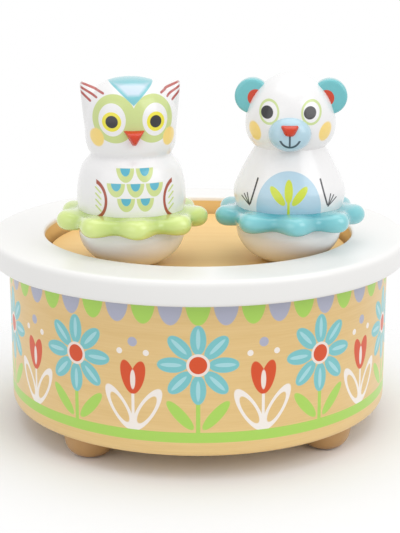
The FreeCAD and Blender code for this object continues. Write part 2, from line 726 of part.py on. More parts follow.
def bear_ear(sign, body):
    r = BEAR_EAR_R
    x = sign * (BEAR_HEAD_R * 1.24 - r)
    middle = vec(x, -BEAR_EAR_DEPTH / 2, BEAR_HEIGHT * 0.885)
    ear = Part.makeCylinder(r, BEAR_EAR_DEPTH, middle, vec(0, 1, 0))
    rims = [e for e in ear.Edges if e.BoundBox.YLength < 0.01]
    return ear.makeFillet(0.9, rims).cut(body)


def bear_muzzle(body):
    """A flattened ball set in the face."""
    ball = Part.makeSphere(1.0)
    shape = FreeCAD.Matrix()
    shape.scale(5.8, 3.6, 4.6)
    muzzle = ball.transformGeometry(shape)
    muzzle.translate(vec(0, -BEAR_HEAD_R * 0.9, BEAR_HEIGHT * 0.708))
    return muzzle.cut(body)


def bear_nose(face):
    """A rounded three-cornered button on the muzzle's upper half."""
    y0 = -BEAR_HEAD_R * 0.9 - 2.4
    z = BEAR_HEIGHT * 0.738
    corners = [vec(-2.9, y0, z + 1.4), vec(2.9, y0, z + 1.4), vec(0, y0, z - 2.3)]
    prism = Part.Face(Part.makePolygon(corners + corners[:1])).extrude(vec(0, -2.3, 0))
    uprights = [e for e in prism.Edges if e.BoundBox.YLength > 1.0]
    prism = prism.makeFillet(0.7, uprights)
    front = [e for e in prism.Edges if e.BoundBox.YMax < y0 - 2.2]
    return prism.makeFillet(0.5, front).cut(face)


def stand(shape, x, y, turn):
    """Set a figure's piece on the stage."""
    turn_z(shape, turn)
    shape.translate(vec(x, y, z_stage + FIGURE_LIFT))
    return shape


def save_figure(name, x, y, turn, float_turn, pieces):
    shared = {"base": bowl(), "felt_pad": felt_pad(), "magnet": figure_magnet(), "dowel": dowel(),
              "float": float_ring(float_turn).cut(pieces["body"])}
    for piece, shape in {**shared, **pieces}.items():
        save(name + "_" + piece, stand(shape, x, y, turn))


os.makedirs("parts", exist_ok=True)

save("drum_shell", drum_shell())
save("rim_ring", rim_ring())
save("stage_disc", stage_disc())
save("base_plate", base_plate(bed_screws))
save("feet", *[foot(x, y) for x, y in foot_places])
save("base_screws", *[piece for piece, _ in base_screws])

save("bedplate", bedplate())
save("arbor_bush", arbor_bush())
save("click", click())
save("tone_comb", tone_comb())
save("comb_screws", *[piece for piece, _ in comb_screws])
save("movement_screws", *[piece for piece, _ in bed_screws])
save("worm_bridge", worm_bridge())

save("winding_arbor", winding_arbor())
save("winding_key", winding_key())
save("ratchet_wheel", ratchet_wheel())

save("spring_barrel", spring_barrel())
save("barrel_cap", barrel_cap())
save("mainspring", mainspring())
save("carrier_spindle", carrier_spindle())
save("magnet_carrier", magnet_carrier())
save("carrier_magnets", *carrier_magnets())
save("carrier_screw", carrier_screw_parts[0])

save("music_cylinder", music_cylinder())
save("cylinder_arbor", cylinder_arbor())
save("crown_pinion", crown_pinion())
save("cylinder_gear", cylinder_gear())
save("governor_shaft", governor_shaft())
save("worm_wheel", worm_wheel())
save("worm_shaft", worm_shaft())
save("air_brake", air_brake())

owl = owl_body()
save_figure("owl", owl_x, owl_y, OWL_TURN, OWL_FLOAT_TURN - OWL_TURN, {"beak": owl_beak(owl), "body": owl})
bear = bear_body()
muzzle = bear_muzzle(bear)
bear_pieces = {"left_ear": bear_ear(1, bear), "right_ear": bear_ear(-1, bear),
               "nose": bear_nose(bear.fuse(muzzle)), "muzzle": muzzle, "body": bear}
save_figure("bear", bear_x, bear_y, BEAR_TURN, BEAR_FLOAT_TURN - BEAR_TURN, bear_pieces)
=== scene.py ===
# %% [markdown]
# A wind-up music box in wood. An owl and a bear in swim rings ride round on a bare wooden stage. A
# white rim keeps them in, and the drum below is printed with flowers and clear lacquered. This
# lesson dresses the packed CAD part: turned pieces are drawn again as smooth lathe meshes, and
# every print and face is shader maths.

# %% load the packed part
import json
import math
from functools import partialmethod

import bpy
from mathutils import Matrix, Vector


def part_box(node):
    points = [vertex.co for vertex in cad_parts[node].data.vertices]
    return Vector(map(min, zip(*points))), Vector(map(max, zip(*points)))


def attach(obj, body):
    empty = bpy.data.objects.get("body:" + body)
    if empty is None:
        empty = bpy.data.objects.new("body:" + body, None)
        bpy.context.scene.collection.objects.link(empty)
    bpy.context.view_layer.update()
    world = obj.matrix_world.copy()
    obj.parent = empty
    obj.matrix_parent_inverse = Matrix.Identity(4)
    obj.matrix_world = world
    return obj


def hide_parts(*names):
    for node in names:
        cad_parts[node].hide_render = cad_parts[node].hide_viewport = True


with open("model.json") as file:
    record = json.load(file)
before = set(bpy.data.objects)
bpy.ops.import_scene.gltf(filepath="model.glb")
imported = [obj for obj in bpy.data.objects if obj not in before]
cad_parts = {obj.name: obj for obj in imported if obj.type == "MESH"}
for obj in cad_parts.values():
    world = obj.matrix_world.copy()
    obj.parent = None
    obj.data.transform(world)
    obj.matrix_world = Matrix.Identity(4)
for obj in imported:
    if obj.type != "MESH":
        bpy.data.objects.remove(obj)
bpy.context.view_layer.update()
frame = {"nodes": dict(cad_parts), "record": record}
MM = 0.001


def span(node):
    """A CAD node's lowest and highest corners at rest, in millimetres."""
    low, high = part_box(node)
    return low / MM, high / MM


# %% [markdown]
# The camera comes first, because every later look is judged through it. The photograph was taken
# from a little above, straight at the front, with a long lens. The place and lens were worked out
# from the rim's oval. The sensor's 36 mm lie along the longer side of the picture, and a small
# shift sets the box a little high in it.

# %% camera
PICTURE_HEIGHT = 533
FOCAL_IN_PIXELS = 1336.7
SHIFT_IN_PIXELS = (1.85, -4.2)
SENSOR = 36.0
CAMERA_SPOT = Vector((0.0, -373.6, 140.9)) * MM
AIM = Vector((0.0, 0.0, 44.45)) * MM


def facing(spot):
    """The turn that points a camera or a lamp from a spot at the box."""
    return (AIM - spot).to_track_quat("-Z", "Y").to_euler()


camera_data = bpy.data.cameras.new("photo_camera")
camera_data.sensor_width = SENSOR
camera_data.lens = FOCAL_IN_PIXELS / PICTURE_HEIGHT * SENSOR
camera_data.shift_x = SHIFT_IN_PIXELS[0] / PICTURE_HEIGHT
camera_data.shift_y = SHIFT_IN_PIXELS[1] / PICTURE_HEIGHT
camera = bpy.data.objects.new("photo_camera", camera_data)
camera.location = CAMERA_SPOT
camera.rotation_euler = facing(CAMERA_SPOT)
bpy.context.scene.collection.objects.link(camera)
bpy.context.scene.camera = camera
print("lens", round(camera_data.lens, 1), "mm")

# %% [markdown]
# Shader maths reads best as plain expressions. This class holds one socket of a node tree, and each
# operator on it adds a Math node, so `1 - mask` and `x * x + z * z` can be typed as they are
# thought. Every other node comes from one method that takes its type, its settings and its sockets.

# %% a value on a wire
def plug(socket, value):
    """Feed a node's input: a wire is linked to it, a plain value is set on it."""
    if isinstance(value, Wire):
        Wire.tree.links.new(value.socket, socket)
    else:
        socket.default_value = value


class Wire:
    """One socket of the node tree that is being built."""
    tree = None

    def __init__(self, socket):
        self.socket = socket

    @staticmethod
    def node(kind, settings=None, sockets=None, output=0):
        made = Wire.tree.nodes.new("ShaderNode" + kind)
        for key, value in (settings or {}).items():
            setattr(made, key, value)
        for key, value in (sockets or {}).items():
            plug(made.inputs[key], value)
        return Wire(made.outputs[output])

    @staticmethod
    def math(operation, *values, clamp=False):
        return Wire.node("Math", {"operation": operation, "use_clamp": clamp}, dict(enumerate(values)))

    def before(self, operation, other):
        return Wire.math(operation, self, other)

    def after(self, operation, other):
        return Wire.math(operation, other, self)

    # Python calls the second name of a pair where a plain number stands to the left of the wire.
    __add__, __radd__ = partialmethod(before, "ADD"), partialmethod(after, "ADD")
    __sub__, __rsub__ = partialmethod(before, "SUBTRACT"), partialmethod(after, "SUBTRACT")
    __mul__, __rmul__ = partialmethod(before, "MULTIPLY"), partialmethod(after, "MULTIPLY")
    __truediv__, __rtruediv__ = partialmethod(before, "DIVIDE"), partialmethod(after, "DIVIDE")
    __mod__, __rmod__ = partialmethod(before, "FLOORED_MODULO"), partialmethod(after, "FLOORED_MODULO")
    lowest, highest = partialmethod(before, "MINIMUM"), partialmethod(before, "MAXIMUM")

    def __abs__(self):
        return Wire.math("ABSOLUTE", self)

    def sqrt(self):
        return Wire.math("SQRT", self)

    def clamped(self):
        """The same value, kept between 0 and 1."""
        return Wire.math("ADD", self, 0.0, clamp=True)


print("a wire knows", ", ".join(name for name in vars(Wire) if not name.startswith("_")))

# %% [markdown]
# A Math node would turn a colour grey, so colours go through Mix nodes. They are written here as on
# a paint chart, in pairs of hexadecimal digits, and turned into the linear light that shaders
# reckon with.

# %% colours
MIX_SHARE, MIX_UNDER, MIX_OVER, MIX_RESULT = 0, 6, 7, 2


def mix(share, under, over):
    """Lay one colour over another; share is 0 where the under colour shows."""
    sockets = {MIX_SHARE: share, MIX_UNDER: under, MIX_OVER: over}
    return Wire.node("Mix", {"data_type": "RGBA"}, sockets, MIX_RESULT)


def ink(code):
    """A colour from a paint chart, as linear red, green, blue and full cover."""
    parts = [int(code[k:k + 2], 16) / 255 for k in (1, 3, 5)]
    return tuple(c / 12.92 if c <= 0.04045 else ((c + 0.055) / 1.055) ** 2.4 for c in parts) + (1.0,)


print("a mid grey on the chart is", round(ink("#808080")[0], 3), "of full light")

# %% [markdown]
# Prints and faces are drawn with distances in millimetres: a distance is below zero inside a shape
# and above it outside. A thin ramp round zero turns it into a clean painted edge at any zoom. Ovals
# and strokes are enough for every eye, petal and feather here.

# %% drawing with distances
EDGE = 0.12


def place():
    """The piece's own x, y and z, in millimetres."""
    where = Wire.node("TexCoord", output="Object")
    split = Wire.node("SeparateXYZ", sockets={"Vector": where}).socket.node
    return [Wire(output) / MM for output in split.outputs]


def length(a, b):
    """How far the point (a, b) is from nought."""
    return (a * a + b * b).sqrt()


def oval(x, z, centre, half, tilt=0.0):
    """Distance to an oval with two half sizes, tilted by some degrees."""
    dx, dz = x - centre[0], z - centre[1]
    if tilt:
        c, s = math.cos(math.radians(tilt)), math.sin(math.radians(tilt))
        dx, dz = dx * c + dz * s, dz * c - dx * s
    return (length(dx / half[0], dz / half[1]) - 1) * min(half)


def stroke(x, z, start, end, width):
    """Distance to a straight brush stroke with round ends."""
    ax, az = end[0] - start[0], end[1] - start[1]
    dx, dz = x - start[0], z - start[1]
    along = ((dx * ax + dz * az) / (ax * ax + az * az)).clamped()
    return length(dx - along * ax, dz - along * az) - width / 2


def cover(distance, blur=EDGE):
    """1 inside a shape, 0 outside, with a thin soft edge."""
    return (0.5 - distance / blur).clamped()


print("painted edges are", EDGE, "mm wide")

# %% [markdown]
# A painter lays one coat over another. A coat here is a mask with a colour, and a list of them is
# laid in order, so later coats cover earlier ones. Soft noise makes the clouds, streaks and pores
# that keep a surface from looking flat.

# %% coats of paint
def coats(*shapes):
    """Coats from pairs of a distance and a colour."""
    return [(cover(distance), colour) for distance, colour in shapes]


def within(area, paint):
    """The same coats, kept to an area."""
    return [(mask * area, colour) for mask, colour in paint]


def layers(ground, paint):
    """Lay coats over a ground colour, one after another."""
    for mask, colour in paint:
        ground = mix(mask, ground, colour)
    return ground


def speckle(scale, detail=3.0, stretch=(1.0, 1.0, 1.0)):
    """Soft noise over the piece's own coordinates; stretch squeezes it along each axis."""
    where = Wire.node("TexCoord", output="Object")
    squeezed = Wire.node("VectorMath", {"operation": "MULTIPLY"}, {0: where, 1: stretch})
    return Wire.node("TexNoise", sockets={"Vector": squeezed, "Scale": scale, "Detail": detail})


print("coats of paint and noise ready")

# %% [markdown]
# A finish is one material on the Principled shader. Its coat stands for clear lacquer and its bump
# for the small relief of wood, paint or metal. What changes over the surface comes in as a
# function, because its nodes can only be added once the material's node tree is there.

# %% finishes
COAT_ROUGHNESS, BUMP_STRENGTH = 0.12, 0.35


def finish(name, colour, roughness=0.4, metallic=0.0, coat=0.0, bump=None, bump_depth=0.05):
    """A material. Colour and roughness are values, or functions that build them on wires, as bump is."""
    material = bpy.data.materials.new(name)
    material.use_nodes = True
    Wire.tree = material.node_tree
    shader = Wire.tree.nodes["Principled BSDF"].inputs
    for socket, value in (("Base Color", colour), ("Roughness", roughness)):
        plug(shader[socket], value() if callable(value) else value)
    shader["Metallic"].default_value = metallic
    shader["Coat Weight"].default_value = coat
    shader["Coat Roughness"].default_value = COAT_ROUGHNESS
    if bump:
        relief = {"Height": bump(), "Strength": BUMP_STRENGTH, "Distance": bump_depth * MM}
        plug(shader["Normal"], Wire.node("Bump", sockets=relief))
    return material


print("clear coats have a roughness of", COAT_ROUGHNESS)

# %% [markdown]
# Every new mesh goes through one function. It shades the faces smooth, keeps real edges sharp, puts
# the piece on the body it rides on and hides the CAD nodes it stands for.

# %% a piece on its body
SHARP_ANGLE = 38


def piece(name, points, faces, body, slot, material, nodes=(), at=None):
    """A smooth mesh from millimetre points that rides on a body and stands for CAD nodes."""
    mesh = bpy.data.meshes.new(name)
    mesh.from_pydata([Vector(p) * MM for p in points], [], faces)
    mesh.polygons.foreach_set("use_smooth", [True] * len(mesh.polygons))
    mesh.set_sharp_from_angle(angle=math.radians(SHARP_ANGLE))
    mesh.materials.append(material)
    made = bpy.data.objects.new(name, mesh)
    bpy.context.scene.collection.objects.link(made)
    if at is not None:
        made.matrix_world = at
    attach(made, body)
    if nodes:
        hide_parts(*nodes)
    return made


def joined(shells):
    """One list of points and one of faces, from several shells."""
    points, faces = [], []
    for shell_points, shell_faces in shells:
        first = len(points)
        points += shell_points
        faces += [tuple(first + k for k in face) for face in shell_faces]
    return points, faces


print("edges stay sharp above", SHARP_ANGLE, "degrees")

# %% [markdown]
# Nearly every piece was turned on a lathe, so one function does most of the modelling: it spins a
# profile of (radius, height) points round the axis. A screw modifier would do the same, but plain
# rings of vertices keep the pole closed and the profile readable. Two more helpers draw profiles:
# one rounds corners, as sandpaper does, and one follows a curve.

# %% lathe
POLE = 1e-6


def skin(rings):
    """Faces between neighbouring rings of point numbers; a ring of one number is a pole."""
    faces = []
    for low, high in zip(rings, rings[1:]):
        steps = max(len(low), len(high))
        for k in range(steps):
            n = (k + 1) % steps
            corners = [low[k % len(low)], low[n % len(low)], high[n % len(high)], high[k % len(high)]]
            faces.append(tuple(dict.fromkeys(corners)))
    return faces


def spin(profile, steps=128, closed=False):
    """Points and faces of a profile turned round the axis; closed joins its end to its start."""
    points, rings = [], []
    for r, z in profile:
        count = 1 if r < POLE else steps
        rings.append([len(points) + k for k in range(count)])
        angles = [2 * math.pi * k / steps for k in range(count)]
        points += [(r * math.sin(a), -r * math.cos(a), z) for a in angles]
    return points, skin(rings + rings[:1] if closed else rings)


print("a plain disc has", len(spin([(0, 0), (1, 0)])[1]), "faces")

# %% rounded corners and curves
def softened(corners, closed=False, steps=6):
    """A profile whose (radius, height, rounding) corners are bent into small curves."""
    profile = []
    for k, (r, z, rounding) in enumerate(corners):
        if not rounding or (not closed and k in (0, len(corners) - 1)):
            profile.append((r, z))
            continue
        here = Vector((r, z))
        before = Vector(corners[k - 1][:2]) - here
        after = Vector(corners[(k + 1) % len(corners)][:2]) - here
        a, b = here + before.normalized() * rounding, here + after.normalized() * rounding
        for t in [j / steps for j in range(steps + 1)]:
            point = a * (1 - t) ** 2 + here * 2 * t * (1 - t) + b * t ** 2
            profile.append((point.x, point.y))
    return profile


def bend(a, b, c, d, steps=12):
    """Points along a curve with two ends and two handles."""
    a, b, c, d = (Vector(p) for p in (a, b, c, d))
    line = []
    for t in [j / steps for j in range(steps + 1)]:
        s = 1 - t
        point = a * s ** 3 + b * 3 * t * s ** 2 + c * 3 * t ** 2 * s + d * t ** 3
        line.append((point.x, point.y))
    return line


print("a bend has", len(bend((0, 0), (1, 0), (1, 1), (0, 1))), "points")

# %% [markdown]
# The drum is pale wood with a print round its side. The print is worked out on the unrolled wall:
# one coordinate runs round the drum in millimetres and the other is the height. Folding the round
# coordinate into one cell of the pattern repeats a motif without drawing it again. Streaks of
# noise, long round the wall and short in height, give the veneer its grain.

# %% the unrolled wall and its wood
drum_low, drum_high = span("drum_shell")
drum_r = drum_high.x
drum_round = 2 * math.pi * drum_r
WOOD, WOOD_DARK = ink("#EDCB8C"), ink("#DCB46C")
VENEER_ROUND, VENEER_UP = 0.045, 0.9


def front_angle(x, y):
    """Angle round the upright axis, counted from the front."""
    return Wire.math("ARCTAN2", x, 0 - y)


def unrolled():
    """Distance round the drum from the front, and height, in millimetres."""
    x, y, z = place()
    return front_angle(x, y) * drum_r, z


def folded(round_way, count, shift=0.0):
    """One cell of a pattern that repeats some times round the drum, centred on 0."""
    cell = drum_round / count
    return (round_way + (shift + 0.5) * cell) % cell - cell / 2


def grain(stretch, pale=WOOD, dark=WOOD_DARK, depth=0.55):
    """Wood: long soft streaks with finer lines in them."""
    broad, fine = speckle(90.0, 2.0, stretch), speckle(420.0, 4.0, stretch)
    return mix((broad * 0.6 + fine * 0.5 - 0.35).clamped() * depth, pale, dark)


def veneer():
    """Thin wood bent round the drum: its streaks run round with the wall."""
    u, v = unrolled()
    along = Wire.node("CombineXYZ", sockets={"X": u * VENEER_ROUND, "Y": v * VENEER_UP})
    broad = Wire.node("TexNoise", sockets={"Vector": along, "Scale": 0.45, "Detail": 2.0})
    fine = Wire.node("TexNoise", sockets={"Vector": along, "Scale": 2.6, "Detail": 5.0})
    return broad * 0.7 + fine * 0.7 - 0.45


print("the wall is", round(drum_round), "mm long and", round(drum_high.z - drum_low.z, 1), "mm high")

# %% [markdown]
# Scallops hang under the rim, and daisies and tulips stand by turns on a plain green band. Each
# motif is a function that returns its coats, so the whole print is the sum of four short lists. The
# heights of band and flowers are counted from the foot of the drum.

# %% scallops and band
LEAF, LAVENDER = ink("#AEDA5B"), ink("#B3B5C8")
SCALLOPS, SCALLOP_WIDTH, SCALLOP_DROP = 48, 0.46, 6.4
BAND_HEIGHT, BAND_HALF = drum_low.z + 5.5, 1.4


def scallops(u, v):
    """Half ovals that hang from the drum's top edge, lavender and green by turns."""
    pitch = drum_round / SCALLOPS
    by_turns = cover(abs(folded(u, SCALLOPS / 2)) - pitch / 2, 0.05)
    shape = oval(folded(u, SCALLOPS), v, (0, drum_high.z), (pitch * SCALLOP_WIDTH, SCALLOP_DROP))
    return coats((shape, mix(by_turns, LAVENDER, LEAF)))


def green_band(v):
    """The ground that the flowers stand on."""
    return coats((abs(v - BAND_HEIGHT) - BAND_HALF, LEAF))


print(SCALLOPS, "scallops,", round(drum_round / SCALLOPS, 1), "mm apart")

# %% daisies
TURQUOISE, SKY, ORANGE, CREAM = ink("#7CC8CB"), ink("#A9DDE2"), ink("#DC4A04"), ink("#F7E8DE")
FLOWERS, PETALS = 10, 8
DAISY_HEIGHT, LEAF_HEIGHT = drum_low.z + 25.0, drum_low.z + 11.5
HEART_R, HEART_EDGE_R = 2.3, 3.0


def daisies(u, v):
    """Veined petals round an orange heart, on a stem with two leaves."""
    across, up = folded(u, FLOWERS), v - DAISY_HEIGHT
    reach, turn = length(across, up), Wire.math("ARCTAN2", across, up)
    slice_turn = 2 * math.pi / PETALS
    petal_turn = (turn + slice_turn / 2) % slice_turn - slice_turn / 2
    out, side = reach * Wire.math("COSINE", petal_turn), reach * Wire.math("SINE", petal_turn)
    return coats((stroke(across, v, (0, BAND_HEIGHT), (0, DAISY_HEIGHT - 8), 1.1), LEAF),
                 (oval(abs(across), v, (4.6, LEAF_HEIGHT), (5.0, 1.5), tilt=48), LEAF),
                 (oval(out, side, (6.6, 0), (3.9, 2.05)), TURQUOISE),
                 (oval(out, side, (6.9, 0), (2.7, 0.55)), SKY),
                 (reach - HEART_EDGE_R, CREAM), (reach - HEART_R, ORANGE))


print(FLOWERS, "daisies of", PETALS, "petals")

# %% tulips
PAPER = ink("#FAF2EA")
TULIP_HEIGHT, FROND_HEIGHT = drum_low.z + 21.0, drum_low.z + 12.5


def tulips(u, v):
    """Two orange petals on a pale stem with open fronds, and dots above."""
    across = folded(u, FLOWERS, 0.5)
    side = abs(across)
    fronds = abs(oval(side, v, (3.7, FROND_HEIGHT), (5.6, 1.9), tilt=58)) - 0.4
    return coats((stroke(across, v, (0, BAND_HEIGHT), (0, TULIP_HEIGHT - 4), 0.8), PAPER),
                 (fronds, PAPER),
                 (oval(side, v, (1.2, TULIP_HEIGHT), (4.6, 1.9), tilt=74), ORANGE),
                 (oval(across, v, (0, TULIP_HEIGHT - 0.6), (0.7, 2.6)), CREAM),
                 (oval(side, v, (0, TULIP_HEIGHT + 9.5), (1.25, 1.25)), LAVENDER),
                 (oval(side, v, (3.6, TULIP_HEIGHT + 6.8), (0.8, 0.8)), PAPER))


print(FLOWERS, "tulips,", round(drum_round / FLOWERS, 1), "mm apart")

# %% printed wood
PRINT_DEPTH = 0.8


def printed_side():
    """The whole print, kept to the outside of the wall, over the veneer."""
    u, v = unrolled()
    x, y, _ = place()
    on_wall = ((length(x, y) - (drum_r - PRINT_DEPTH)) * 3).clamped()
    wood = mix(veneer().clamped() * 0.95, WOOD, WOOD_DARK)
    return layers(wood, within(on_wall, scallops(u, v) + daisies(u, v) + tulips(u, v) + green_band(v)))


printed_wood = finish("printed_wood", printed_side, roughness=0.36, coat=0.25, bump=veneer)
print("the print takes", len(printed_wood.node_tree.nodes), "nodes")

# %% [markdown]
# The drum's shell is a wall with a rebate below for the base plate and a flange near the top that
# carries the stage. Only the outside shows, but the whole section is drawn, so the mesh is a closed
# ring of wood. Its lower outside corner is rounded most, as in the photograph.

# %% drum
WALL, REBATE_WALL, REBATE_HEIGHT, FLANGE_REACH = 8.0, 3.6, 6.0, 17.0
inside_r, rebate_r, flange_r = drum_r - WALL, drum_r - REBATE_WALL, drum_r - FLANGE_REACH
FLANGE_TOP_DROP, FLANGE_LOW_DROP = 1.8, 5.0
flange_top, flange_low = drum_high.z - FLANGE_TOP_DROP, drum_high.z - FLANGE_LOW_DROP
rebate_top = drum_low.z + REBATE_HEIGHT
drum_section = [(rebate_r, drum_low.z, 0.4), (drum_r, drum_low.z, 2.0), (drum_r, drum_high.z, 0.3),
                (inside_r, drum_high.z, 0.3), (inside_r, flange_top, 0), (flange_r, flange_top, 0),
                (flange_r, flange_low, 0), (inside_r, flange_low, 0), (inside_r, rebate_top, 0),
                (rebate_r, rebate_top, 0)]
FINE_STEPS = 192
drum_mesh = spin(softened(drum_section, closed=True), FINE_STEPS, closed=True)
piece("drum", *drum_mesh, "drum", "printed_wood", printed_wood, ["drum_shell"])
print("drum", round(2 * drum_r), "mm across")

# %% [markdown]
# The rim is a turned ring in satin white paint, which laps a little way down its bore; below that
# the bare wood shows. One material can do both: the radius from the axis and the height say where
# the paint stops. A faint waviness in the bump keeps it from looking like plastic. Layers of paint
# make the ring a little thicker.

# %% rim ring
ring_low, ring_high = span("rim_ring")
ring_r = ring_high.x
RING_WIDTH = 15.3
bore_r = ring_r - RING_WIDTH
SATIN_WHITE, SATIN_CLOUD = ink("#F6F5F2"), ink("#EEEDE9")
PAINT_LAP, PAINT_BUILD, BORE_MARGIN, SOFT_EDGE = 0.9, 0.35, 0.5, 0.3


def rim_paint():
    """White outside and a little way down the bore, bare wood below that."""
    x, y, z = place()
    in_bore = bore_r + BORE_MARGIN - length(x, y)
    painted = cover(in_bore.lowest(ring_high.z - PAINT_LAP - z), SOFT_EDGE)
    cloudy = mix(speckle(60.0) * 0.25, SATIN_WHITE, SATIN_CLOUD)
    return mix(painted, grain((0.15, 0.15, 1.0)), cloudy)


rim_white = finish("rim_white", rim_paint, roughness=0.34, coat=0.15, bump=lambda: speckle(500.0))
rim_low, rim_high = ring_low.z - PAINT_BUILD, ring_high.z + PAINT_BUILD
rim_section = [(bore_r, rim_low, 0.3), (ring_r, rim_low, 1.1), (ring_r, rim_high, 1.8),
               (bore_r, rim_high, 0.9)]
rim_mesh = spin(softened(rim_section, closed=True), FINE_STEPS, closed=True)
piece("rim", *rim_mesh, "drum", "white_paint", rim_white, ["rim_ring"])
print("rim", round(2 * ring_r), "mm across")

# %% [markdown]
# The stage is a bare plywood disc, sanded and unlacquered, with grain that runs across it. It stays
# a little smaller than the rim's bore, so a dark line shows all round. The feet are small turned
# domes of a darker wood. One dome is spun and set down four times.

# %% stage
stage_low, stage_high = span("stage_disc")
STAGE_PALE, STAGE_DARK = ink("#FAD48E"), ink("#E3B066")
stage_wood = finish("stage_wood", lambda: grain((0.1, 1.0, 1.0), STAGE_PALE, STAGE_DARK, 0.6),
                    roughness=0.55, bump=lambda: speckle(600.0, 3.0, (0.08, 1.0, 1.0)))
stage_profile = softened([(0, stage_low.z, 0), (stage_high.x, stage_low.z, 0.2),
                          (stage_high.x, stage_high.z, 0.5), (0, stage_high.z, 0)])
piece("stage", *spin(stage_profile), "drum", "stage_wood", stage_wood, ["stage_disc"])
print("stage", round(2 * stage_high.x, 1), "mm across")

# %% feet
FOOT_PALE, FOOT_DARK = ink("#B88E59"), ink("#956C39")
foot_wood = finish("foot_wood", lambda: grain((1.0, 1.0, 0.2), FOOT_PALE, FOOT_DARK),
                   roughness=0.4, coat=0.2, bump=lambda: speckle(700.0, 3.0, (1.0, 1.0, 0.08)))
FOOT_R, FOOT_FLAT_R, FOOT_LIFT, FOOT_TURN = 7.2, 2.4, 0.02, 50
foot_circle = (span("feet")[1].x - FOOT_R) / math.cos(math.radians(FOOT_TURN - 90))
foot_side = bend((FOOT_FLAT_R, FOOT_LIFT), (FOOT_R * 0.72, FOOT_LIFT), (FOOT_R, drum_low.z * 0.4),
                 (FOOT_R, drum_low.z))
foot_points, foot_faces = spin([(0, FOOT_LIFT)] + foot_side + [(0, drum_low.z)], 48)


def foot(angle):
    """A dome at some angle round the foot circle."""
    spot_x, spot_y = foot_circle * math.cos(angle), foot_circle * math.sin(angle)
    return [(x + spot_x, y + spot_y, z) for x, y, z in foot_points], foot_faces


feet_mesh = joined([foot(math.radians(FOOT_TURN + 90 * quarter)) for quarter in range(4)])
piece("feet_domes", *feet_mesh, "drum", "foot_wood", foot_wood, ["feet"])
print("feet on a circle of", round(foot_circle, 1), "mm")

# %% [markdown]
# Each figure is built round its own upright axis, looking along -Y, and is then set on the stage
# and turned a little aside. The paint uses the piece's own coordinates, so faces stay put when the
# figure twirls. Both bodies have the same kind of outline: a trunk, a neck, cheeks and a domed
# crown.

# %% figure placing and lacquer
OWL_TURN, BEAR_TURN = 7.3, -4.5


def standing(name, turn):
    """Where a figure stands: over its base, turned to look a little aside."""
    low, high = span(name + "_base")
    middle = (low + high) / 2
    spot = Matrix.Translation(Vector((middle.x, middle.y, low.z)) * MM)
    return spot @ Matrix.Rotation(math.radians(turn), 4, "Z")


def gloss(name, colour, coat=0.5):
    """Lacquer: a clear gloss coat with a very slight orange peel."""
    return finish(name, colour, roughness=0.25, coat=coat, bump_depth=0.03,
                  bump=lambda: speckle(350.0, 2.0))


owl_at, bear_at = standing("owl", OWL_TURN), standing("bear", BEAR_TURN)
for name, at in (("owl", owl_at), ("bear", bear_at)):
    print(name, "stands at", [round(v, 4) for v in at.translation])

# %% outline of a figure
BODY_FOOT = 14.84


def smooth_line(points, steps=6):
    """A smooth curve through profile points."""
    line = []
    padded = [points[0]] + list(points) + [points[-1]]
    for p, a, b, q in zip(padded, padded[1:], padded[2:], padded[3:]):
        p, a, b, q = Vector(p), Vector(a), Vector(b), Vector(q)
        line += bend(a, a + (b - p) / 6, b - (q - a) / 6, b, steps)[:-1]
    return line + [tuple(points[-1])]


def figure_outline(r, top, wide, neck, trunk, jaw, cheek, dome):
    """A profile from foot to crown; wide is the height where the head reaches its radius r."""
    rise, lift = neck[1] - BODY_FOOT, wide - neck[1]
    body = smooth_line([(r * out, BODY_FOOT + rise * up) for out, up in trunk] + [neck])
    handle = (neck[0] + lift * jaw[0], neck[1] + lift * jaw[1])
    head = bend(neck, handle, (r, wide - lift * cheek), (r, wide))
    crown = bend((r, wide), (r, wide + (top - wide) * dome), (r * dome, top), (0, top))
    return [(0, BODY_FOOT)] + body + head[1:] + crown[1:]


print("bodies start", BODY_FOOT, "mm above the stage")

# %% [markdown]
# The owl's paint: a green mask of two ovals round white eyes with yellow rings, a fan on the crown,
# red-brown lines in the tufts, peach cheeks, and rows of round feathers on the chest. Masks are
# laid in the order a painter would use. The absolute value of x mirrors the left side to the right.

# %% owl's head paint
GLOSS_WHITE, MASK_GREEN, EYE_YELLOW = ink("#F4F3F2"), ink("#D0DE90"), ink("#F5E93A")
PUPIL, PEACH, TUFT_RED = ink("#0C0C12"), ink("#FFDE7E"), ink("#B5524A")
CROWN, CROWN_PALE = ink("#7CC6CE"), ink("#CBDDEA")
TUFT_LINES = (((13.3, 49.4), (7.6, 47.0)), ((13.3, 48.2), (9.3, 45.9)), ((13.2, 47.0), (10.8, 44.8)))
FAN_POINT, FAN_SPREAD = 44.3, 1.08


def owl_face(side, z):
    """Mask, eyes and cheeks, and the lines in the tufts."""
    cheeks = oval(side, z, (9.35, 35.8), (1.65, 2.4), tilt=-12)
    eyes = coats((oval(side, z, (4.9, 40.8), (5.5, 6.2)), MASK_GREEN),
                 (oval(side, z, (5.55, 40.6), (3.4, 4.2)), GLOSS_WHITE),
                 (oval(side, z, (5.7, 40.1), (2.4, 2.5)), EYE_YELLOW),
                 (oval(side, z, (5.7, 40.1), (1.55, 1.6)), PUPIL))
    lines = coats(*((stroke(side, z, start, end, 0.62), TUFT_RED) for start, end in TUFT_LINES))
    return eyes + [(cover(cheeks, SOFT_EDGE), PEACH)] + lines


def crown_fan(x, y, z):
    """A turquoise fan that opens upwards, with a pale middle."""
    edge = (abs(x) - (z - FAN_POINT) * FAN_SPREAD - 0.1) * 0.7
    fan = cover(edge.highest(oval(x, y, (0, -9.0), (11.5, 11.5))))
    pale = cover((edge + 0.85).highest(z - 49.2).highest(46.7 - z).highest(y + 1.0), 0.8)
    return [(fan, CROWN), (pale, CROWN_PALE)]


print("the fan opens from", FAN_POINT, "mm up")

